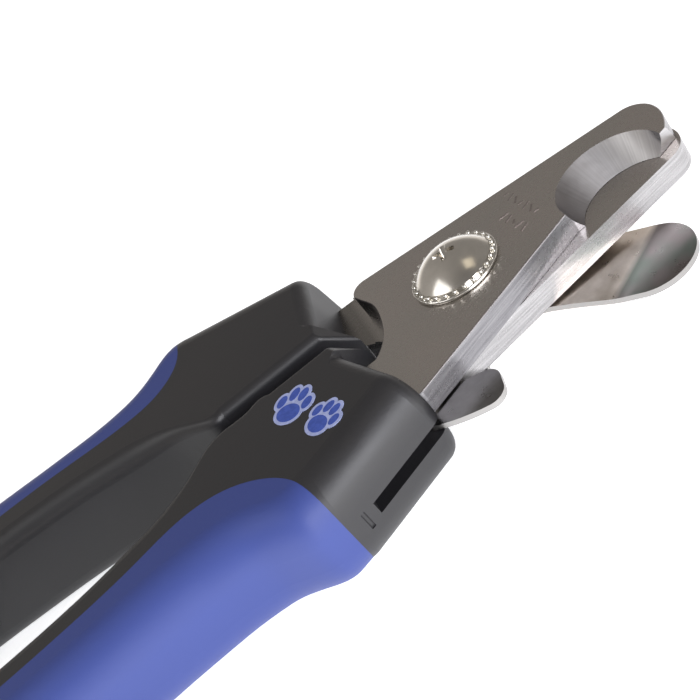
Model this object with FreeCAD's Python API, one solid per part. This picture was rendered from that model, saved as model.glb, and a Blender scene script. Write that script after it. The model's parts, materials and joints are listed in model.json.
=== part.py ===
import FreeCAD, Part
import math
import os

from FreeCAD import Vector

# Pliers-type pet nail clipper, closed.  Millimetres, +Z up.
# While it is being built the pivot axis is x = y = 0, the two blades meet at z = 0,
# +X points to the blade tips and +Y to the left handle.  The last step moves every
# piece together, so that the origin is the middle of the bounding box on the table.

# ---- driving dimensions ----
blade_thick = 3.0
slide_gap = 0.02            # between flat faces that turn on each other
bore_gap = 0.05             # radial clearance of a turning bore on its pin
screw_r = 2.5
edge_round = 0.18           # worn outer edges of the plates
notch_low = (20.1, -7.2, 6.4)    # x, y, radius of the notch on the cutting side
notch_rise = (-0.167, 0.933, 0.133)  # how the three grow per mm of height: the bevel
relief_centre, relief_r, relief_depth = (-36.3, -11.0), 25.0, 0.27
tang_end = -44.0
tang_holes = [(-22.0, -10.2), (-34.0, -8.7)]
tang_hole_r = 1.6
tang_head_r, tang_head_height = 2.6, 1.7
tang_screw_end = 4.8

flat_washer_r = 5.6
flat_washer_top = 3.5
bead_ring_r, bead_r, bead_z = 5.12, 0.27, 3.72
bead_count = 26
head_r, head_low, head_rise = 4.85, 3.75, 2.05
recess_length, recess_width, recess_depth = 3.0, 0.75, 1.3
wave_washer_low, nut_low, nut_across = -4.2, -6.1, 8.0

guard_thick = 0.7
guard_top = -blade_thick - 0.04
guard_drop = 1.5            # how far the guard's blade side steps down
guard_turn = -57.0          # direction in which its blade side runs out
hub_r = 7.5
bend_start, bend_end, bend_r = 9.2, 16.8, 10.0
tail_inner, tail_outer = 15.05, 20.65
tail_top = -0.2
tail_from, tail_to = -128.0, -102.4
slot_low, slot_high = -1.12, 0.5
slot_end = -21.9

handle_top = 6.8
handle_bottom = -6.2
side_round = 4.9            # rounding of the outer long edges of a handle
inner_round_head, inner_round_grip = 1.1, 2.3
head_inner = 1.4            # half the gap between the two handle heads
head_edge = 0.5             # rounding of the edges round a head's front
head_under = 1.8            # the same below the blade level
nose_tip = (-13.4, head_inner, 3.0)  # small corner that a head puts forward beside the gap

spring_x = -76.0
spring_z = (handle_top + handle_bottom) / 2
spring_r = 3.9
spring_wire = 1.3
spring_turns = 6
seat_r = 5.2
seat_face = 10.6            # half the distance between the two seat flanges
seat_back, stem_end = 12.2, 15.0
stem_r = 2.2

latch_pivot = (-112.0, -14.6)
latch_reach = 28.2          # latch pivot to catch pin
latch_half = 2.9
latch_low, latch_high = -1.1, 1.5
latch_slack = 0.35
latch_pin_r = 1.5
latch_swing = 90.0

os.makedirs("parts", exist_ok=True)
nodes = {}


# ---- small tools ----
def cylinder(x, y, radius, low, high):
    return Part.makeCylinder(radius, high - low, Vector(x, y, low))


def ring(x, y, inner, outer, low, high):
    return cylinder(x, y, outer, low, high).cut(cylinder(x, y, inner, low - 1, high + 1))


def polar(radius, degrees, centre=(0.0, 0.0)):
    angle = math.radians(degrees)
    return (centre[0] + radius * math.cos(angle), centre[1] + radius * math.sin(angle))


def at(point, z=0.0):
    return Vector(point[0], point[1], z)


def line(a, b):
    return Part.LineSegment(at(a), at(b)).toShape()


def arc(a, via, b):
    return Part.Arc(at(a), at(via), at(b)).toShape()


def curve(points):
    spline = Part.BSplineCurve()
    spline.interpolate([at(p) for p in points])
    return spline.toShape()


def polyline(points):
    return [line(a, b) for a, b in zip(points, points[1:])]


def prism(edges, low, high):
    face = Part.Face(Part.Wire(Part.__sortEdges__(edges)))
    face.translate(Vector(0, 0, low))
    return face.extrude(Vector(0, 0, high - low))


def sector(inner, outer, start, end, low, high, centre=(0.0, 0.0)):
    middle = (start + end) / 2
    outside = [polar(outer, a, centre) for a in (start, middle, end)]
    inside = [polar(inner, a, centre) for a in (end, middle, start)]
    edges = [arc(*outside), line(outside[2], inside[0]), arc(*inside), line(inside[2], outside[0])]
    return prism(edges, low, high)


def wedge(points, start_y, end_y):
    """A prism along Y from a closed polygon of (x, z) points."""
    corners = [Vector(x, start_y, z) for x, z in points]
    face = Part.Face(Part.makePolygon(corners + corners[:1]))
    return face.extrude(Vector(0, end_y - start_y, 0))


def flipped(shape):
    """The same piece turned over about the X axis, for the other lever."""
    copy = shape.copy()
    copy.rotate(Vector(0, 0, 0), Vector(1, 0, 0), 180)
    return copy


def mirrored(shape):
    return shape.mirror(Vector(0, 0, 0), Vector(0, 1, 0))


def fused(shapes):
    body = shapes[0]
    for other in shapes[1:]:
        body = body.fuse(other)
    return body.removeSplitter()


def drilled(shape, holes):
    for hole in holes:
        shape = shape.cut(hole)
    return shape


# ---- blades: one lever plate, used twice ----
def plate_outline():
    """Ground blade in front, flat tang behind."""
    nose = [(26.0, 4.95), (27.7, 4.15), (28.65, 2.7), (28.98, 0.6), (28.5, -1.8), (27.2, -4.2)]
    mouth = [nose[-1], (26.6, -5.0), (13.2, -5.08)]
    tang = [(-11.1, -14.8), (-20.0, -15.4), (tang_end, -13.2), (tang_end, -8.2), (-24.0, -4.2),
            (-13.5, -4.4)]
    rear = [tang[-1], (-11.8, -2.7), (-10.6, 0.0), (-10.0, 3.2), (-10.0, 5.5), (-10.6, 7.5), (-11.2, 9.4)]
    corner = (-9.2, 11.47)
    return [line(corner, nose[0]), curve(nose), *polyline(mouth + tang), curve(rear),
            arc(rear[-1], (-10.7, 10.9), corner)]


def notch():
    """Round bevelled mouth: a loft between two circles, wider on the outer face."""
    circles = []
    for z in (-0.5, blade_thick + 0.5):
        x, y, radius = (low + rise * z for low, rise in zip(notch_low, notch_rise))
        circles.append(Part.Wire(Part.makeCircle(radius, Vector(x, y, z))))
    return Part.makeLoft(circles, True, True)


def tip_facet():
    """Leaning cut that takes the corner off between the notch and the nose."""
    along = Vector(math.cos(math.radians(20)), math.sin(math.radians(20)), 0) * 8
    foot, top = Vector(26.55, -3.03, 0), Vector(26.64, -4.25, blade_thick)
    up = (top - foot) * 0.5
    corners = [foot - up - along, foot - up + along, top + up + along, top + up - along]
    face = Part.Face(Part.makePolygon(corners + corners[:1]))
    return face.extrude(Vector(0, -6, 0))


def blade():
    """A shallow relief on the inner face marks where the ground blade turns into the tang."""
    plate = prism(plate_outline(), slide_gap, blade_thick)
    outer = [e for e in plate.Edges if e.BoundBox.ZMin > blade_thick - 0.01 and e.BoundBox.XMin > -13.6]
    plate = plate.makeFillet(edge_round, outer)
    relief = cylinder(*relief_centre, relief_r, -1.0, relief_depth)
    bore = cylinder(0, 0, screw_r + bore_gap, -1, 4)
    holes = [cylinder(x, y, tang_hole_r, -1, 4) for x, y in tang_holes]
    return drilled(plate, [notch(), tip_facet(), relief, bore] + holes)


top_blade = blade()
nodes["top_blade"] = top_blade
nodes["bottom_blade"] = flipped(top_blade)


# ---- pivot stack ----
def flat_washer():
    washer = cylinder(0, 0, flat_washer_r, blade_thick + slide_gap, flat_washer_top)
    rims = [e for e in washer.Edges if e.BoundBox.XLength > flat_washer_r and e.BoundBox.ZLength < 0.01]
    return washer.makeFillet(0.2, rims).cut(cylinder(0, 0, screw_r + 0.02, 0, 5))


def serrated_washer():
    """Thin ring with a row of beads standing up round its edge."""
    washer = cylinder(0, 0, bead_ring_r - 0.12, flat_washer_top, head_low)
    below = cylinder(0, 0, 7.0, 2.0, flat_washer_top)
    beads = []
    for index in range(bead_count):
        x, y = polar(bead_ring_r, index * 360.0 / bead_count)
        beads.append(Part.makeSphere(bead_r, Vector(x, y, bead_z)))
    return fused([washer] + beads).cut(below).cut(cylinder(0, 0, screw_r + 0.02, 0, 5))


def pivot_screw():
    rim = 0.1
    apex = head_low + rim + head_rise
    sphere_r = (head_r ** 2 + head_rise ** 2) / (2 * head_rise)
    dome = Part.makeSphere(sphere_r, Vector(0, 0, apex - sphere_r))
    dome = dome.common(cylinder(0, 0, head_r, head_low + rim, apex + 1))
    shank = cylinder(0, 0, screw_r, nut_low + 0.1, head_low)
    screw = fused([dome, cylinder(0, 0, head_r, head_low, head_low + rim), shank])
    half, side = recess_length / 2, recess_width / 2
    floor_z = apex - recess_depth
    cross = []
    for turn in (-20.0, 70.0):
        arm = Part.makeBox(2 * half, 2 * side, recess_depth + 1, Vector(-half, -side, floor_z))
        arm.rotate(Vector(0, 0, 0), Vector(0, 0, 1), turn)
        cross.append(arm)
    taper = Part.makeCone(0.5, half + 0.3, recess_depth + 0.3, Vector(0, 0, floor_z))
    return screw.cut(fused(cross).common(taper))


def hexagon(across, low, high):
    corners = [polar(across / math.sqrt(3), 60.0 * i) for i in range(7)]
    return prism(polyline(corners), low, high)


def pivot_nut():
    high = wave_washer_low - 0.02
    thick = high - nut_low
    corner_cone = Part.makeCone(3.7, 3.7 + 2 * thick, thick, Vector(0, 0, nut_low))
    return hexagon(nut_across, nut_low, high).common(corner_cone).cut(cylinder(0, 0, screw_r, -7, 0))


nodes["pivot_screw"] = pivot_screw()
nodes["serrated_washer"] = serrated_washer()
nodes["flat_washer"] = flat_washer()
nodes["wave_washer"] = ring(0, 0, screw_r + 0.02, 4.6, wave_washer_low, guard_top - guard_thick - 0.02)
nodes["pivot_nut"] = pivot_nut()


# ---- nail guard: one stamping that turns on the pivot screw ----
def guard_plan():
    """Outline of the spoon-shaped stop, seen from above."""
    end_centre, end_r = (17.0, -11.0), 5.3
    lower_touch = polar(end_r, -127.0, end_centre)
    upper_touch = polar(end_r, 59.0, end_centre)
    root, neck = (3.05, -6.95), (7.57, 0.6)
    return [line((0, 0), root), curve([root, (5.6, -8.6), (8.4, -10.7), lower_touch]),
            arc(lower_touch, polar(end_r, -34.0, end_centre), upper_touch),
            line(upper_touch, neck), line(neck, (0, 0))]


def bent_sheet():
    """Wide sheet that steps down between two soft bends."""
    top, bottom = guard_top, guard_top - guard_thick
    side = [(-2, top), (bend_start, top), (bend_end, top - guard_drop), (40, top - guard_drop),
            (40, bottom - guard_drop), (bend_end, bottom - guard_drop), (bend_start, bottom), (-2, bottom)]
    sheet = wedge(side, -30, 30)
    bends = [e for e in sheet.Edges if e.BoundBox.YLength > 50 and 0 < e.BoundBox.XMin < 39]
    sheet = sheet.makeFillet(bend_r, bends)
    sheet.rotate(Vector(0, 0, 0), Vector(0, 0, 1), guard_turn)
    return sheet


def tail_tab():
    """Thumb tab with two rounded corners at its free end."""
    tab = sector(tail_inner, tail_outer, tail_from, tail_to, tail_top - guard_thick, tail_top)
    x, y = polar((tail_inner + tail_outer) / 2, tail_to)
    free = [e for e in tab.Edges if e.BoundBox.ZLength > guard_thick / 2
            and math.hypot(e.BoundBox.Center.x - x, e.BoundBox.Center.y - y) < tail_outer - tail_inner]
    return tab.makeFillet(1.9, free)


def guard():
    low = guard_top - guard_thick
    arm = prism(guard_plan(), -9.0, 0.0).common(bent_sheet())
    hub = cylinder(0, 0, hub_r, low, guard_top)
    riser_outer = tail_inner + guard_thick
    tail_arm = sector(6.0, riser_outer, tail_from, tail_to - 9.6, low, guard_top)
    riser = sector(tail_inner, riser_outer, tail_from, tail_to - 9.6, low, tail_top)
    return fused([hub, arm, tail_arm, riser, tail_tab()]).cut(cylinder(0, 0, screw_r + bore_gap, -9, 0))


nodes["nail_guard"] = guard()


# ---- handles, drawn on the +Y side ----
def eased(points, x):
    """Height at x of a smooth curve through (x, height) points that never overshoots."""
    xs, ys = [p[0] for p in points], [p[1] for p in points]
    slopes = [(ys[i + 1] - ys[i]) / (xs[i + 1] - xs[i]) for i in range(len(xs) - 1)]
    tangents = [slopes[0]]
    for before, after in zip(slopes, slopes[1:]):
        level = before * after <= 0
        tangents.append(0.0 if level else 2 * before * after / (before + after))
    tangents.append(slopes[-1])
    i = max(k for k in range(len(xs) - 1) if k == 0 or x <= xs[k])
    span = xs[i + 1] - xs[i]
    t = (x - xs[i]) / span
    return (ys[i] * (1 + 2 * t) * (1 - t) ** 2 + ys[i + 1] * t * t * (3 - 2 * t)
            + span * t * (1 - t) * (tangents[i] * (1 - t) - tangents[i + 1] * t))


def section(x, inner, outer, low, high):
    """Rounded rectangle across a handle at one x."""
    ri = eased([(-8.0, inner_round_head), (-33.0, inner_round_head), (-44.0, inner_round_grip),
                (-130.0, inner_round_grip)], x)
    ro = min(side_round, (outer - inner) / 2.4)
    slant = math.sqrt(0.5)

    def corner(y, z, radius, toward_y, toward_z, first):
        centre = (y - toward_y * radius, z - toward_z * radius)
        on_y = Vector(x, y, centre[1])
        on_z = Vector(x, centre[0], z)
        middle = Vector(x, centre[0] + toward_y * radius * slant, centre[1] + toward_z * radius * slant)
        ends = (on_z, on_y) if first == "z" else (on_y, on_z)
        return ends[0], middle, ends[1]

    corners = [
        corner(outer, high, ro, 1, 1, "z"),
        corner(outer, low, ro, 1, -1, "y"),
        corner(inner, low, ri, -1, -1, "z"),
        corner(inner, high, ri, -1, 1, "y"),
    ]
    edges = []
    for here, after in zip(corners, corners[1:] + corners[:1]):
        edges.append(Part.Arc(*here).toShape())
        edges.append(Part.LineSegment(here[2], after[0]).toShape())
    return Part.Wire(edges)


def loft(stations, ruled=False):
    wires = [section(x, inner, outer, handle_bottom - 0.2, handle_top) for x, inner, outer in stations]
    return Part.makeLoft(wires, True, ruled)


def handle_blank(neck):
    """Whole handle before it is parted into core and grip.  neck is the outer side of
    the head's rear end and the finger stop, where the two handles differ."""
    start = neck[0][0]
    outer = neck + [(-54.0, 21.2), (-63.0, 22.0), (-78.0, 22.9), (-95.0, 22.9), (-110.0, 22.2),
                    (-119.0, 21.2), (-124.0, 19.6), (-126.5, 17.4)]
    inner = [(start, head_inner), (-32.8, head_inner), (-34.5, 2.4), (-38.0, 4.9), (-42.0, 6.5),
             (-47.0, 7.8), (-54.0, 9.2), (-63.0, 10.2), (-78.0, 11.0), (-95.0, 11.1), (-110.0, 10.8),
             (-119.0, 10.6), (-124.0, 11.5), (-126.5, 13.2)]
    end = outer[-1][0]
    steps = round((start - end) / 3.1)
    places = [start + (end - start) * i / steps for i in range(steps + 1)]
    stations = [(x, eased(inner, x), eased(outer, x)) for x in places]
    head = loft([(-8.0, head_inner, 15.6), stations[0]], ruled=True)
    body = head.fuse(loft(stations))
    table = Part.makeBox(200, 80, 10, Vector(-180, -40, handle_bottom - 10))
    return body.cut(table).removeSplitter()


right_neck = [(-25.0, 22.7), (-28.5, 23.5), (-31.5, 22.3), (-35.0, 20.8), (-40.0, 20.3), (-47.0, 20.6)]
left_neck = [(-31.0, 24.9), (-34.0, 25.6), (-37.0, 23.9), (-39.5, 22.2), (-43.0, 21.1), (-47.0, 20.8)]

# front part of the line between core and grip, from the outer side inwards, and its shared rear part
right_seam = [(-25.8, 30), (-25.6, 21.8), (-27.6, 17.0), (-30.4, 14.05), (-34.6, 11.7), (-39.8, 11.05),
              (-46.2, 12.3), (-54.0, 13.6), (-66.0, 14.8)]
left_seam = [(-32.8, 30), (-32.9, 22.3), (-33.9, 18.0), (-35.7, 15.8), (-38.4, 14.3), (-42.5, 13.8),
             (-54.0, 14.9), (-66.0, 15.6)]
rear_seam = [(-85.0, 15.7), (-102.0, 15.5), (-112.0, 16.2), (-117.5, 18.7), (-119.5, 23.0), (-119.8, 30)]
rib_outline = [(-112, 5), (-112, 18.6), (-95, 19.2), (-78, 19.2), (-63, 18.4), (-54, 17.6), (-42, 16.8)]
rib_low, rib_high = -3.0, 3.6


def parted(blank, seam, rib_start):
    """Core and rubber grip.  A rib of the core runs on inside the grip."""
    seam = seam + rear_seam
    outside = prism([curve(seam), line(seam[-1], seam[0])], -20, 20)
    corners = [(rib_start, 5), *rib_outline, (rib_start, 17.2), (rib_start, 5)]
    rib = prism(polyline(corners), rib_low, rib_high)
    grip = blank.common(outside).cut(rib)
    core = blank.cut(grip)
    return core, grip


def head_front(blank, ridge, lean):
    """Cut the front of a handle head.  ridge is the top front edge from the inner to the
    outer side, and lean is how far the face comes forward on its way down to z = 0."""
    start, end = (at(p, handle_top) for p in ridge)
    along = (end - start).normalize()
    ahead = Vector(along.y, -along.x, 0)

    def slab(run, drop, push):
        reach = 16.0 / drop
        far = ahead * (run * reach) - Vector(0, 0, 16.0)
        first, last = start - along * 6.0, end + along * 8.0
        face = Part.Face(Part.makePolygon([first, last, last + far, first + far, first]))
        return face.extrude(push)

    inner, outer = -3.0, start.y
    nose = prism(polyline([(-30, inner), (nose_tip[0], inner), nose_tip[:2],
                           (start.x, outer), (-30, outer), (-30, inner)]), -20, 20)
    tip_run = (Vector(*nose_tip) - start).dot(ahead)
    front = slab(lean, handle_top, Vector(20, 0, 0)).cut(nose)
    head = blank.cut(front).cut(slab(tip_run, handle_top - nose_tip[2], Vector(0, 0, 30)))

    def front_edges(shape, low, high):
        """Edges of the front face between two levels."""
        found = []
        for edge in shape.Edges:
            offsets = [(v.Point - start).dot(ahead) - lean * (handle_top - v.Z) / handle_top
                       for v in edge.Vertexes]
            level = edge.BoundBox.Center.z
            if max(map(abs, offsets)) < 0.02 and edge.BoundBox.XMin > -20 and low < level < high:
                found.append(edge)
        return found

    head = head.makeFillet(head_under, front_edges(head, -10.0, -2.0))
    return head.makeFillet(head_edge, front_edges(head, -2.0, 10.0))


right_ridge = [(-16.2, 3.5), (-11.0, 16.4)]
left_ridge = [(-16.9, 4.2), (-15.1, 14.8)]


# ---- what the handles hold ----
def tang_screw(x, y):
    """Screw put in from below through the tang."""
    low = handle_bottom + 0.4
    high = low + tang_head_height
    screw = cylinder(x, y, tang_head_r, low, high).fuse(cylinder(x, y, tang_hole_r, high, tang_screw_end))
    for wide, deep in ((3.0, 0.8), (0.8, 3.0)):
        screw = screw.cut(Part.makeBox(wide, deep, 1.0, Vector(x - wide / 2, y - deep / 2, low - 0.1)))
    return screw


def screw_bore(x, y):
    low = handle_bottom - 1
    head = cylinder(x, y, tang_head_r, low, handle_bottom + 0.4 + tang_head_height)
    return head.fuse(cylinder(x, y, tang_hole_r, low, tang_screw_end))


def along_y(radius, start, end):
    return Part.makeCylinder(radius, end - start, Vector(spring_x, start, spring_z), Vector(0, 1, 0))


def spring_seat():
    """Flanged plug let into a handle, with a peg that the spring sits on."""
    stem = along_y(stem_r, seat_face, stem_end)
    peg = along_y(stem_r + 0.1, seat_face - 2.8, seat_face)
    return fused([stem, along_y(seat_r, seat_face, seat_back), peg])


def seat_pocket():
    return along_y(stem_r, 8.0, stem_end).fuse(along_y(seat_r, 8.0, seat_back))


def return_spring():
    length = 2 * seat_face - spring_wire - 0.1
    helix = Part.makeHelix(length / spring_turns, length, spring_r)
    profile = Part.Wire(Part.makeCircle(spring_wire / 2, Vector(spring_r, 0, 0), Vector(0, 1, 0)))
    coil = Part.Wire(helix).makePipeShell([profile], True, True)
    coil.translate(Vector(0, 0, -length / 2))
    coil.rotate(Vector(0, 0, 0), Vector(1, 0, 0), 90)
    coil.translate(Vector(spring_x, 0, spring_z))
    return coil


def lock_latch():
    """Flat hook lying forward along the right handle.  Its notch is an arc about its own
    pivot, so it slides round the catch pin as it swings in."""
    x, y = latch_pivot
    end_r = latch_half + 0.3
    bar = prism(polyline([(x, y - latch_half), (x + latch_reach, y - latch_half),
                          (x + latch_reach, y + latch_half), (x, y + latch_half), (x, y - latch_half)]),
                latch_low, latch_high)
    eye = cylinder(x, y, latch_half, latch_low, latch_high)
    end = cylinder(x + latch_reach, y, end_r, latch_low, latch_high)
    nub = cylinder(x + 0.8 * latch_reach, y + latch_half - 0.4, 1.8, latch_low, latch_high)
    notch_half = latch_pin_r + latch_slack
    notch = sector(latch_reach - notch_half, latch_reach + notch_half, 0, 40,
                   latch_low - 1, latch_high + 1, latch_pivot)
    notch_end = cylinder(x + latch_reach, y, notch_half, latch_low - 1, latch_high + 1)
    bore = cylinder(x, y, latch_pin_r + bore_gap, latch_low - 1, latch_high + 1)
    return drilled(fused([bar, eye, end, nub]), [notch, notch_end, bore])


def handle_pin(x, y):
    return cylinder(x, y, latch_pin_r, handle_bottom + 0.3, handle_top - 0.3)


def pin_bore(x, y):
    return cylinder(x, y, latch_pin_r, handle_bottom - 1, handle_top + 1)


def latch_slots():
    """Room for the latch in both handles, stowed and swung across."""
    x, y = latch_pivot
    low, high = latch_low - 0.2, latch_high + 0.2
    wide = latch_half + 0.7
    stowed = prism(polyline([(x - wide, y - wide), (x + latch_reach + 4.2, y - wide),
                             (x + latch_reach + 4.2, -5), (x - wide, -5), (x - wide, y - wide)]), low, high)
    across = sector(18.0, latch_reach + 4.2, 38, 97.5, low, high, latch_pivot)
    return stowed, across


def tail_slot():
    """Slot in the right head that the guard's tail slides through, with its side window."""
    sweep = sector(14.4, tail_outer + 0.4, -172, -90, slot_low, slot_high)
    hub_room = cylinder(0, 0, tail_inner + guard_thick + 0.5, guard_top - guard_thick - 0.5, slot_high)
    window = prism(polyline([(-8, -13), (-8, -24), (slot_end, -30), (slot_end, -18.5), (-8, -13)]),
                   slot_low, slot_high)
    return fused([sweep, hub_room, window])


def side_mark():
    """Short upright groove in the right head's side, behind the slot's window."""
    x, y = slot_end - 1.4, -22.1
    return cylinder(x, y, 0.3, slot_low - 0.4, slot_high + 0.3)


catch = (latch_pivot[0], latch_pivot[1] + latch_reach)
stowed_slot, across_slot = latch_slots()
pocket = seat_pocket()

right_core, right_grip = parted(head_front(handle_blank(right_neck), right_ridge, 0.01), right_seam, -28.6)
left_core, left_grip = parted(head_front(handle_blank(left_neck), left_ridge, 1.06), left_seam, -37.0)
left_holes = [(x, -y) for x, y in tang_holes]

right_room = [stowed_slot, pin_bore(*latch_pivot)]
left_room = [across_slot, pin_bore(*catch)]
nodes["right_handle"] = drilled(mirrored(right_core), [
    top_blade, tail_slot(), side_mark(), mirrored(pocket), *right_room,
    *[screw_bore(*p) for p in tang_holes]])
nodes["left_handle"] = drilled(left_core, [
    nodes["bottom_blade"], pocket, *left_room, *[screw_bore(*p) for p in left_holes]])
nodes["right_grip"] = drilled(mirrored(right_grip), right_room)
nodes["left_grip"] = drilled(left_grip, left_room)
nodes["right_tang_screws"] = Part.makeCompound([tang_screw(*p) for p in tang_holes])
nodes["left_tang_screws"] = Part.makeCompound([tang_screw(*p) for p in left_holes])
nodes["left_spring_seat"] = spring_seat()
nodes["right_spring_seat"] = mirrored(spring_seat())
nodes["return_spring"] = return_spring()
nodes["lock_latch"] = lock_latch()
nodes["latch_pin"] = handle_pin(*latch_pivot)
nodes["catch_pin"] = handle_pin(*catch)


# ---- into the stored frame: origin in the middle of the bounding box, on the table ----
box = Part.makeCompound(list(nodes.values())).optimalBoundingBox(False)
shift = Vector(-box.Center.x, -box.Center.y, -box.ZMin)
print("pivot axis at x %.4f y %.4f, blades meet at z %.4f" % (shift.x, shift.y, shift.z))
for name, shape in nodes.items():
    shape.translate(shift)
    print(name, "valid", shape.isValid(), "solids", len(shape.Solids), "volume %.1f" % shape.Volume)
    shape.exportStep("parts/%s.step" % name)
print("size %.1f x %.1f x %.1f" % (box.XLength, box.YLength, box.ZLength))
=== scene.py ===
import json
import math

import bpy
from mathutils import Matrix, Vector


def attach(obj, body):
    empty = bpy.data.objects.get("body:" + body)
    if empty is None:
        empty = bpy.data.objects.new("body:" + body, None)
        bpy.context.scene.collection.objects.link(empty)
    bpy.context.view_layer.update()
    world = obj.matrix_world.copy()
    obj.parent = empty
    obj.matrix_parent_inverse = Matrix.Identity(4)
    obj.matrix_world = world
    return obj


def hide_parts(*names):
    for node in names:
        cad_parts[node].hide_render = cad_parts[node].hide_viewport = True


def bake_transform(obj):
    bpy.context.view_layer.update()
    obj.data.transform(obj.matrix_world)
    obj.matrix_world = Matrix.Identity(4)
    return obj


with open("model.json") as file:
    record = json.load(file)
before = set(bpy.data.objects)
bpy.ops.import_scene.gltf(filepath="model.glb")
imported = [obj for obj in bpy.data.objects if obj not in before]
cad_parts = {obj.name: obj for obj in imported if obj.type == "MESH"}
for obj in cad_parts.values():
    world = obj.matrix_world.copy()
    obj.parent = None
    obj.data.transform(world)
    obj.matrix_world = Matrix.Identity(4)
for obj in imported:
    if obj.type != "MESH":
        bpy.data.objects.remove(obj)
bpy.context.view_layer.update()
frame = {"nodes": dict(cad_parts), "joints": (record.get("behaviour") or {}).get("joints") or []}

MM = 0.001
joints = {joint["name"]: joint for joint in frame["joints"]}
pivot = Vector(joints["lever_pivot"]["pos_m"])
scene = bpy.context.scene

# Places are in millimetres from the pivot axis, at the level where the blades meet.
BLADE_TOP = 3.0
HANDLE_TOP = 6.8
NOTCH_CENTRE = (20.1, -7.2, 0.0)
TANG_SHADE_X = (-10.5, -12.5)      # x where a blade's face turns into its tang, which can get painted shade
GUARD_FRONT = (1.0, 2.0)        # x where the guard's rear, painted dark as shade, turns into its slope, painted bright as a highlight
GUARD_BEND = (16.3, 17.2)       # distance out where the slope ends in the flat spoon
NOTCH_SHADE = (3.0, -8.0)       # x from the notch's centre where its bevel gets darker
FLOOR_GLOW = (-14, -70)         # y where the floor's own light starts and where it is full
GUARD_TURN = -57.0              # degrees
PRINT_TURN = -64.4              # degrees

# How a shader tells faces apart, by the upright part of the normal.
FACE = (0.93, 0.97)
BEVEL = (0.2, 0.3)
GUARD_SIDE = (0.5, 0.8)

# The ground bevel of the notch.
SCRATCHES_PER_RADIAN = 26.0
BEVEL_ROUGHER = 0.14

# Bump heights in metres.
STEEL_GRAIN = 0.00002
PLASTIC_GRAIN = 0.00005

SATIN = (0.525, 0.50, 0.475)
SATIN_CLOUD = (0.55, 0.51, 0.485)


def place(x, y, z):
    """A point given in millimetres from the pivot axis, at the level where the blades meet."""
    return pivot + Vector((x, y, z)) * MM


def shade(colour, factor):
    return tuple(factor * c for c in colour)


def new_piece(name, points, faces):
    mesh = bpy.data.meshes.new(name)
    mesh.from_pydata(points, [], faces)
    piece = bpy.data.objects.new(name, mesh)
    scene.collection.objects.link(piece)
    return piece


# ---- camera ----
def camera():
    data = bpy.data.cameras.new("camera")
    data.sensor_width = 36.0
    data.lens = 66.9
    data.clip_start = 0.01
    data.clip_end = 20.0
    eye = bpy.data.objects.new("camera", data)
    scene.collection.objects.link(eye)
    stand = place(-6.34, -126.10, 80.23)
    look = Vector((-0.0587, 0.8525, -0.5195))
    roll = Matrix.Rotation(math.radians(-40.63), 4, "Z")
    turn = look.to_track_quat("-Z", "Y").to_matrix().to_4x4() @ roll
    eye.matrix_world = Matrix.Translation(stand) @ turn
    scene.camera = eye


camera()


# ---- shader helpers ----
class Tree:
    """A node tree with short calls for the nodes used here."""

    def __init__(self, tree):
        self.nodes = tree.nodes
        self.links = tree.links

    def add(self, kind, links=None, **values):
        """A new node; values are its settings, or its inputs with _ for each space."""
        node = self.nodes.new(kind)
        for key, value in values.items():
            if hasattr(node, key):
                setattr(node, key, value)
            else:
                node.inputs[key.replace("_", " ")].default_value = value
        for key, source in (links or {}).items():
            self.links.new(source, node.inputs[key])
        return node

    def feed(self, socket, value):
        """Give an input a link, a colour or a number."""
        if isinstance(value, bpy.types.NodeSocket):
            self.links.new(value, socket)
        elif isinstance(value, tuple):
            socket.default_value = (*value, 1.0)
        else:
            socket.default_value = value

    def coordinate(self, kind):
        return self.add("ShaderNodeTexCoord").outputs[kind]

    def part(self, vector, axis):
        return self.add("ShaderNodeSeparateXYZ", {"Vector": vector}).outputs[axis]

    def math(self, operation, *values):
        node = self.add("ShaderNodeMath", operation=operation)
        for socket, value in zip(node.inputs, values):
            self.feed(socket, value)
        return node.outputs[0]

    def ramp(self, source, low, high, first=0, last=1, **settings):
        """Map low..high of source to first..last, which are numbers."""
        node = self.add("ShaderNodeMapRange", {"Value": source}, From_Min=low, From_Max=high,
                        To_Min=first, To_Max=last, **settings)
        return node.outputs["Result"]


class Shader(Tree):
    """A material round one principled shader."""

    def __init__(self, name, **principled):
        self.material = bpy.data.materials.new(name)
        self.material.use_nodes = True
        super().__init__(self.material.node_tree)
        self.bsdf = self.nodes["Principled BSDF"]
        for socket, value in principled.items():
            self.bsdf.inputs[socket.replace("_", " ")].default_value = value
        self.coords = self.coordinate("Object")

    def mapped(self, scale=(1, 1, 1), shift=(0, 0, 0)):
        node = self.add("ShaderNodeMapping", {"Vector": self.coords}, Scale=scale, Location=shift)
        return node.outputs["Vector"]

    def noise(self, scale, detail=3.0, roughness=0.55, vector=None):
        node = self.add("ShaderNodeTexNoise", {"Vector": vector or self.mapped()},
                        Scale=scale, Detail=detail, Roughness=roughness)
        return node.outputs["Fac"]

    def mix(self, factor, first, last):
        """Blend two colours, each a tuple or a socket."""
        node = self.add("ShaderNodeMix", data_type="RGBA")
        for index, value in ((0, factor), (6, first), (7, last)):
            self.feed(node.inputs[index], value)
        return node.outputs[2]

    def upright(self):
        """How much the surface faces up or down, 0 to 1."""
        return self.math("ABSOLUTE", self.part(self.coordinate("Normal"), "Z"))

    def joined(self, x, y, scale):
        """A vector of two values, the first of them stretched."""
        stretched = self.math("MULTIPLY", x, scale)
        return self.add("ShaderNodeCombineXYZ", {"X": stretched, "Y": y}).outputs["Vector"]

    def bump(self, height, strength, distance):
        node = self.add("ShaderNodeBump", {"Height": height}, Strength=strength, Distance=distance)
        return node.outputs["Normal"]

    def use(self, **sources):
        for socket, source in sources.items():
            self.links.new(source, self.bsdf.inputs[socket.replace("_", " ")])
        return self.material


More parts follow.
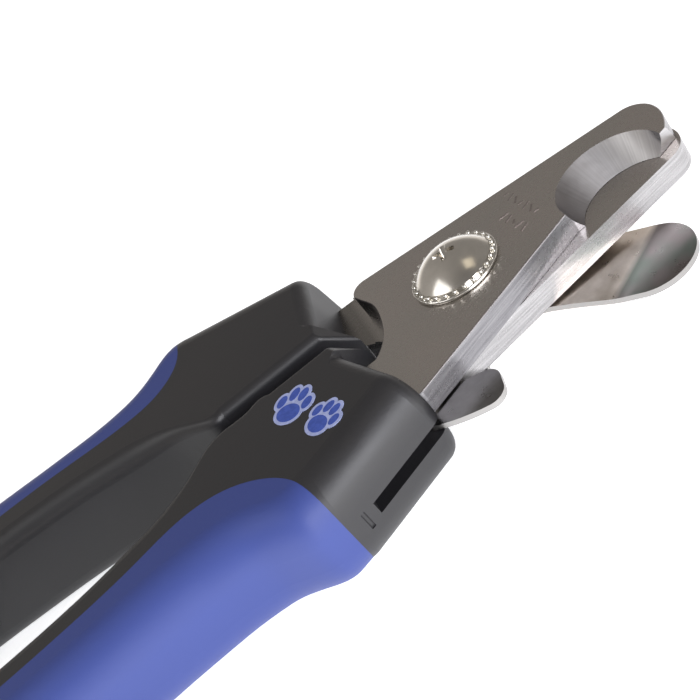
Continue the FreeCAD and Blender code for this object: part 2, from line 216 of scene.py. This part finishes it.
# ---- materials ----
def blade_steel(name, dark_side, light_side, tang_shade):
    """Satin faces, sides and notch ground bright: told apart by the way the surface faces. The sides'
    levels are painted reflections, and the tang's darkening is painted shade.
    """
    s = Shader(name, Metallic=1.0)
    upright = s.upright()
    is_face = s.ramp(upright, *FACE)
    is_bevel = s.ramp(upright, *BEVEL)
    satin = s.noise(1500.0, 2.0)
    cloud = s.noise(110.0, 2.0)
    along = s.noise(1.0, 5.0, 0.7, s.mapped((90, 90, 2600)))

    face = s.mix(s.ramp(cloud, 0.35, 0.65), SATIN, SATIN_CLOUD)
    # painted shade: the face darkens towards the tang by the factor the caller gives, 0.5 on the far
    # blade, for the shade between the handles' heads
    behind = s.ramp(s.part(s.coords, "X"), *(place(x, 0, 0).x for x in TANG_SHADE_X))
    face = s.mix(behind, face, shade(SATIN, tang_shade))
    side = s.mix(s.ramp(along, 0.33, 0.68), dark_side, light_side)

    # the bevel's scratches run out from the notch's centre
    offset = s.mapped(shift=-place(*NOTCH_CENTRE))
    turn = s.math("ARCTAN2", s.part(offset, "Y"), s.part(offset, "X"))
    depth = s.math("ABSOLUTE", s.part(offset, "Z"))
    radial = s.noise(1.0, 3.0, vector=s.joined(turn, depth, SCRATCHES_PER_RADIAN))
    bevel = s.mix(s.ramp(radial, 0.35, 0.65), (0.56, 0.55, 0.56), (0.68, 0.67, 0.68))
    shaded = s.ramp(s.part(offset, "X"), *(x * MM for x in NOTCH_SHADE))
    bevel = s.mix(shaded, bevel, (0.20, 0.185, 0.185))

    ground = s.mix(is_bevel, side, bevel)
    grain = s.math("ADD", s.math("MULTIPLY", satin, is_face),
                   s.math("MULTIPLY", along, s.math("SUBTRACT", 1.0, is_bevel)))
    rough = s.math("ADD", s.ramp(satin, 0.3, 0.7, 0.25, 0.31),
                   s.math("MULTIPLY", BEVEL_ROUGHER, s.math("SUBTRACT", is_bevel, is_face)))
    return s.use(Base_Color=s.mix(is_face, ground, face), Roughness=rough,
                 Normal=s.bump(grain, 0.06, STEEL_GRAIN))


def guard_steel():
    """Rolled steel: a painted highlight on the slope next to the blades, painted shade on the plain
    rear, and the flat end painted dark as shade and mottled with stain.
    """
    s = Shader("guard_steel", Metallic=1.0)
    grain = s.noise(500.0, 4.0)
    cloud = s.noise(160.0, 2.0)
    offset = s.mapped(shift=-pivot)
    angle = math.radians(GUARD_TURN)
    out = s.math("ADD", s.math("MULTIPLY", s.part(offset, "X"), math.cos(angle) / MM),
                 s.math("MULTIPLY", s.part(offset, "Y"), math.sin(angle) / MM))
    speckle = s.ramp(grain, 0.35, 0.65)
    # painted highlight: the slope is painted light, standing in for the bright blade sides it mirrors
    slope_highlight = s.mix(speckle, (0.56, 0.50, 0.44), (0.68, 0.62, 0.56))
    # painted shade: the plain rear and tab are painted dark
    plain = s.mix(speckle, (0.15, 0.145, 0.14), (0.19, 0.185, 0.18))
    # the flat end: painted shade, mottled with stain
    stain_and_shade = s.mix(s.ramp(cloud, 0.42, 0.62), (0.185, 0.165, 0.16), (0.135, 0.155, 0.135))
    front = s.mix(s.ramp(out, *GUARD_BEND), slope_highlight, stain_and_shade)
    tone = s.mix(s.ramp(s.part(offset, "X"), *(x * MM for x in GUARD_FRONT)), plain, front)
    tone = s.mix(s.ramp(s.upright(), *GUARD_SIDE), (0.42, 0.41, 0.40), tone)
    return s.use(Base_Color=tone, Roughness=s.ramp(grain, 0.3, 0.7, 0.26, 0.34),
                 Normal=s.bump(grain, 0.05, STEEL_GRAIN))


def plain_steel(name, colour, roughness):
    s = Shader(name, Metallic=1.0)
    grain = s.noise(600.0, 4.0)
    tone = s.mix(s.ramp(grain, 0.3, 0.7), colour, shade(colour, 0.9))
    rough = s.ramp(grain, 0.3, 0.7, roughness * 0.85, roughness * 1.2)
    return s.use(Base_Color=tone, Roughness=rough, Normal=s.bump(grain, 0.04, STEEL_GRAIN))


def moulded(name, ior, grain, cloud, colours, roughness, strength):
    """A soft-gloss moulding: fine grain, and colour and gloss that drift slowly."""
    s = Shader(name, IOR=ior)
    fine = s.noise(grain, 3.0)
    wide = s.noise(cloud, 2.0)
    return s.use(Base_Color=s.mix(wide, *colours), Roughness=s.ramp(wide, 0.3, 0.7, *roughness),
                 Normal=s.bump(fine, strength, PLASTIC_GRAIN))


def print_ink(name, colour):
    s = Shader(name)
    speck = s.noise(1800.0, 3.0)
    tone = s.mix(s.ramp(speck, 0.35, 0.65), colour, shade(colour, 0.8))
    return s.use(Base_Color=tone, Roughness=s.ramp(speck, 0.3, 0.7, 0.45, 0.6))


materials = {
    # The blades' side colours are painted reflections: the near blade's darker, standing in for the
    # dark plate and tab it mirrors, the far blade's lighter. The last number is the painted shade on
    # the tang.
    "near_blade": blade_steel("near_blade_steel", (0.21, 0.205, 0.22), (0.38, 0.375, 0.39), 1.0),
    "far_blade": blade_steel("far_blade_steel", (0.34, 0.335, 0.34), (0.60, 0.59, 0.60), 0.5),
    "guard": guard_steel(),
    "bright": plain_steel("bright_steel", (0.76, 0.74, 0.70), 0.12),
    "dome": plain_steel("dome_chrome", (0.76, 0.73, 0.68), 0.19),
    "plain": plain_steel("plain_steel", (0.5, 0.5, 0.5), 0.28),
    "etched": plain_steel("etched_steel", (0.36, 0.32, 0.31), 0.45),
    "black": moulded("black_plastic", 1.6, 2600.0, 70.0,
                     ((0.0115, 0.0112, 0.0135), (0.016, 0.0157, 0.0185)), (0.42, 0.50), 0.22),
    "blue": moulded("blue_rubber", 1.45, 2200.0, 55.0,
                    ((0.035, 0.056, 0.225), (0.042, 0.066, 0.260)), (0.44, 0.52), 0.2),
    "ink_light": print_ink("ink_light", (0.42, 0.48, 0.80)),
    "ink_blue": print_ink("ink_blue", (0.05, 0.10, 0.46)),
}

finishes = {
    "near_blade": ("top_blade",),
    "far_blade": ("bottom_blade",),
    "guard": ("nail_guard",),
    "dome": ("pivot_screw",),
    "bright": ("serrated_washer", "flat_washer", "pivot_nut", "return_spring"),
    "plain": ("wave_washer", "right_tang_screws", "left_tang_screws", "lock_latch", "latch_pin",
              "catch_pin"),
    "black": ("right_handle", "left_handle", "left_spring_seat", "right_spring_seat"),
    "blue": ("right_grip", "left_grip"),
}
for finish, names in finishes.items():
    for name in names:
        mesh = frame["nodes"][name].data
        mesh.materials.clear()
        mesh.materials.append(materials[finish])


# ---- small prints on the right lever ----
OUTLINE_STEP = 0.004            # each outline ends this much higher, so that none are level
PAW_SINK, ETCH_SINK = 0.02, 0.01
ETCH_LIFT = 0.012

# centre, size and extra turn of each paw
PAWS = (((-23.3, -7.3), 1.12, 12), ((-21.0, -12.9), 0.98, -8))
# x, y, half width and half length of the pad and the four toes
PAW_PADS = ((0, -0.75, 1.5, 1.15), (-1.75, 0.55, 0.55, 0.8), (-0.62, 1.55, 0.55, 0.85),
            (0.62, 1.55, 0.55, 0.85), (1.75, 0.55, 0.55, 0.8))
# name, margin round the pads, lift and ink
PAW_LAYERS = (("paw_edges", 0.42, 0.03, "ink_light"), ("paw_pads", 0.0, 0.05, "ink_blue"))
# place of the first stroke of each row, and number of strokes
ETCH_ROWS = (((10.2, 6.1), 7), ((8.2, 2.6), 5))
STROKE_STEP = (0.16, -1.15)     # from one stroke of a row to the next
STROKE_SPREAD = 28              # degrees, leaned back, not at all or forward in turn


def flat_piece(name, outlines, low, high, material):
    """Thin flat shapes on a level face, each given by its (x, y) outline."""
    points, faces = [], []
    for outline in outlines:
        first, count = len(points), len(outline)
        points += [place(x, y, z) for z in (low, high) for x, y in outline]
        faces.append(tuple(range(first + count, first + 2 * count)))
        for i in range(count):
            here, beside = first + i, first + (i + 1) % count
            faces.append((here, beside, count + beside, count + here))
        high += OUTLINE_STEP
    piece = new_piece(name, points, faces)
    piece.data.materials.append(materials[material])
    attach(piece, "right_lever")


def turned(points, degrees, centre):
    c, s = math.cos(math.radians(degrees)), math.sin(math.radians(degrees))
    return [(centre[0] + x * c - y * s, centre[1] + x * s + y * c) for x, y in points]


def oval(x, y, across, along, corners=28):
    steps = [2 * math.pi * i / corners for i in range(corners)]
    return [(x + across * math.cos(a), y + along * math.sin(a)) for a in steps]


def paw_prints():
    for name, margin, lift, ink in PAW_LAYERS:
        outlines = []
        for centre, size, turn in PAWS:
            for x, y, across, along in PAW_PADS:
                pad = oval(x * size, y * size, across * size + margin, along * size + margin)
                outlines.append(turned(pad, PRINT_TURN + turn, centre))
        flat_piece(name, outlines, HANDLE_TOP - PAW_SINK, HANDLE_TOP + lift, ink)


def etch_marks():
    """Two rows of small strokes, no writing."""
    half_width, tall_half, short_half = 0.11, 0.62, 0.34
    outlines = []
    for row, ((x, y), count) in enumerate(ETCH_ROWS):
        for index in range(count):
            centre = (x + STROKE_STEP[0] * index, y + STROKE_STEP[1] * index)
            tall = tall_half if (index + row) % 3 else short_half
            box = [(-half_width, -tall), (half_width, -tall), (half_width, tall), (-half_width, tall)]
            lean = STROKE_SPREAD * (index % 3 - 1)
            outlines.append(turned(box, PRINT_TURN + lean, centre))
    flat_piece("etch_marks", outlines, BLADE_TOP - ETCH_SINK, BLADE_TOP + ETCH_LIFT, "etched")


paw_prints()
etch_marks()


# ---- return spring, a coil in place of the CAD one ----
def coil_spring():
    centre_x, centre_z, length = -76.0, 0.3, 19.8
    radius, wire, turns = 3.9, 0.65, 6
    steps, sides = turns * 30, 12
    pitch = length / (2 * math.pi * turns)
    points = []
    for step in range(steps + 1):
        angle = 2 * math.pi * turns * step / steps
        outward = Vector((math.cos(angle), 0, math.sin(angle)))
        forward = Vector((-radius * math.sin(angle), pitch, radius * math.cos(angle))).normalized()
        across = outward.cross(forward)
        middle = Vector((centre_x, pitch * angle - length / 2, centre_z)) + outward * radius
        for side in range(sides):
            turn = 2 * math.pi * side / sides
            rim = (outward * math.cos(turn) + across * math.sin(turn)) * wire
            points.append(place(*(middle + rim)))
    last = steps * sides
    faces = [tuple(range(sides)), tuple(range(last + sides - 1, last - 1, -1))]
    for step in range(steps):
        for side in range(sides):
            here, beside = step * sides + side, step * sides + (side + 1) % sides
            faces.append((here, here + sides, beside + sides, beside))
    coil = new_piece("coil_spring", points, faces)
    coil.data.materials.append(materials["bright"])
    coil.data.polygons.foreach_set("use_smooth", [len(face) == 4 for face in faces])
    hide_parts("return_spring")
    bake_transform(coil)


coil_spring()


# ---- floor and light ----
PANEL_DISTANCE = 0.75           # metres from the pivot
PANEL_POWER = 4                 # watts for each square metre at strength 1

# name, turn, rise, size, strength and colour
PANELS = (
    ("side_panel", -66, 26, (0.66, 0.34), 6.4, (0.94, 0.95, 1.0)),
    ("rear_panel", 184, 47, (0.46, 0.34), 1.25, (1.0, 1.0, 0.99)),
    ("warm_panel", -5, 65, (0.26, 0.22), 0.55, (1.0, 0.88, 0.66)),
)


def floor():
    """A pale plate that gives some light of its own, more of it towards the front."""
    half = 3.0
    corners = [(-half, -half, 0), (half, -half, 0), (half, half, 0), (-half, half, 0)]
    plate = new_piece("floor", corners, [(0, 1, 2, 3)])
    s = Shader("floor", Base_Color=(0.9, 0.9, 0.9, 1), Roughness=0.9,
               Emission_Color=(0.97, 0.98, 1, 1))
    start, full = (place(0, y, 0).y for y in FLOOR_GLOW)
    glow = s.ramp(s.part(s.coords, "Y"), start, full, 0.7, 2.2)
    plate.data.materials.append(s.use(Emission_Strength=glow))


def panel(name, turn, rise, size, strength, colour):
    """A soft light in the direction turn and rise degrees from the pivot, size in metres."""
    turn, rise = math.radians(turn), math.radians(rise)
    away = Vector((math.cos(rise) * math.cos(turn), math.cos(rise) * math.sin(turn),
                   math.sin(rise)))
    data = bpy.data.lights.new(name, "AREA")
    data.shape = "RECTANGLE"
    data.size, data.size_y = size
    data.energy = PANEL_POWER * strength * size[0] * size[1]
    data.color = colour
    lamp = bpy.data.objects.new(name, data)
    scene.collection.objects.link(lamp)
    facing = (-away).to_track_quat("-Z", "Y").to_matrix().to_4x4()
    lamp.matrix_world = Matrix.Translation(pivot + away * PANEL_DISTANCE) @ facing


def surroundings():
    """A pale tent: white low down, grey above, lighter behind the handles."""
    world = bpy.data.worlds.new("tent")
    scene.world = world
    world.use_nodes = True
    tree = Tree(world.node_tree)
    direction = tree.coordinate("Generated")

    def fade(axis, low, high, first, last):
        return tree.ramp(tree.part(direction, axis), low, high, first, last,
                         interpolation_type="SMOOTHSTEP")

    upper = tree.math("ADD", fade("Y", -0.5, 0.2, 0.17, 0.27), fade("X", 0.2, -0.8, 0.0, 0.14))
    lower = tree.math("MULTIPLY", fade("Z", 0.03, 0.22, 0.7, 0.0), fade("Y", -0.7, 0.1, 3.0, 1.0))
    background = tree.nodes["Background"]
    background.inputs["Color"].default_value = (1.0, 0.94, 0.88, 1.0)
    tree.links.new(tree.math("ADD", upper, lower), background.inputs["Strength"])


floor()
surroundings()
for values in PANELS:
    panel(*values)
scene.view_settings.view_transform = "Standard"
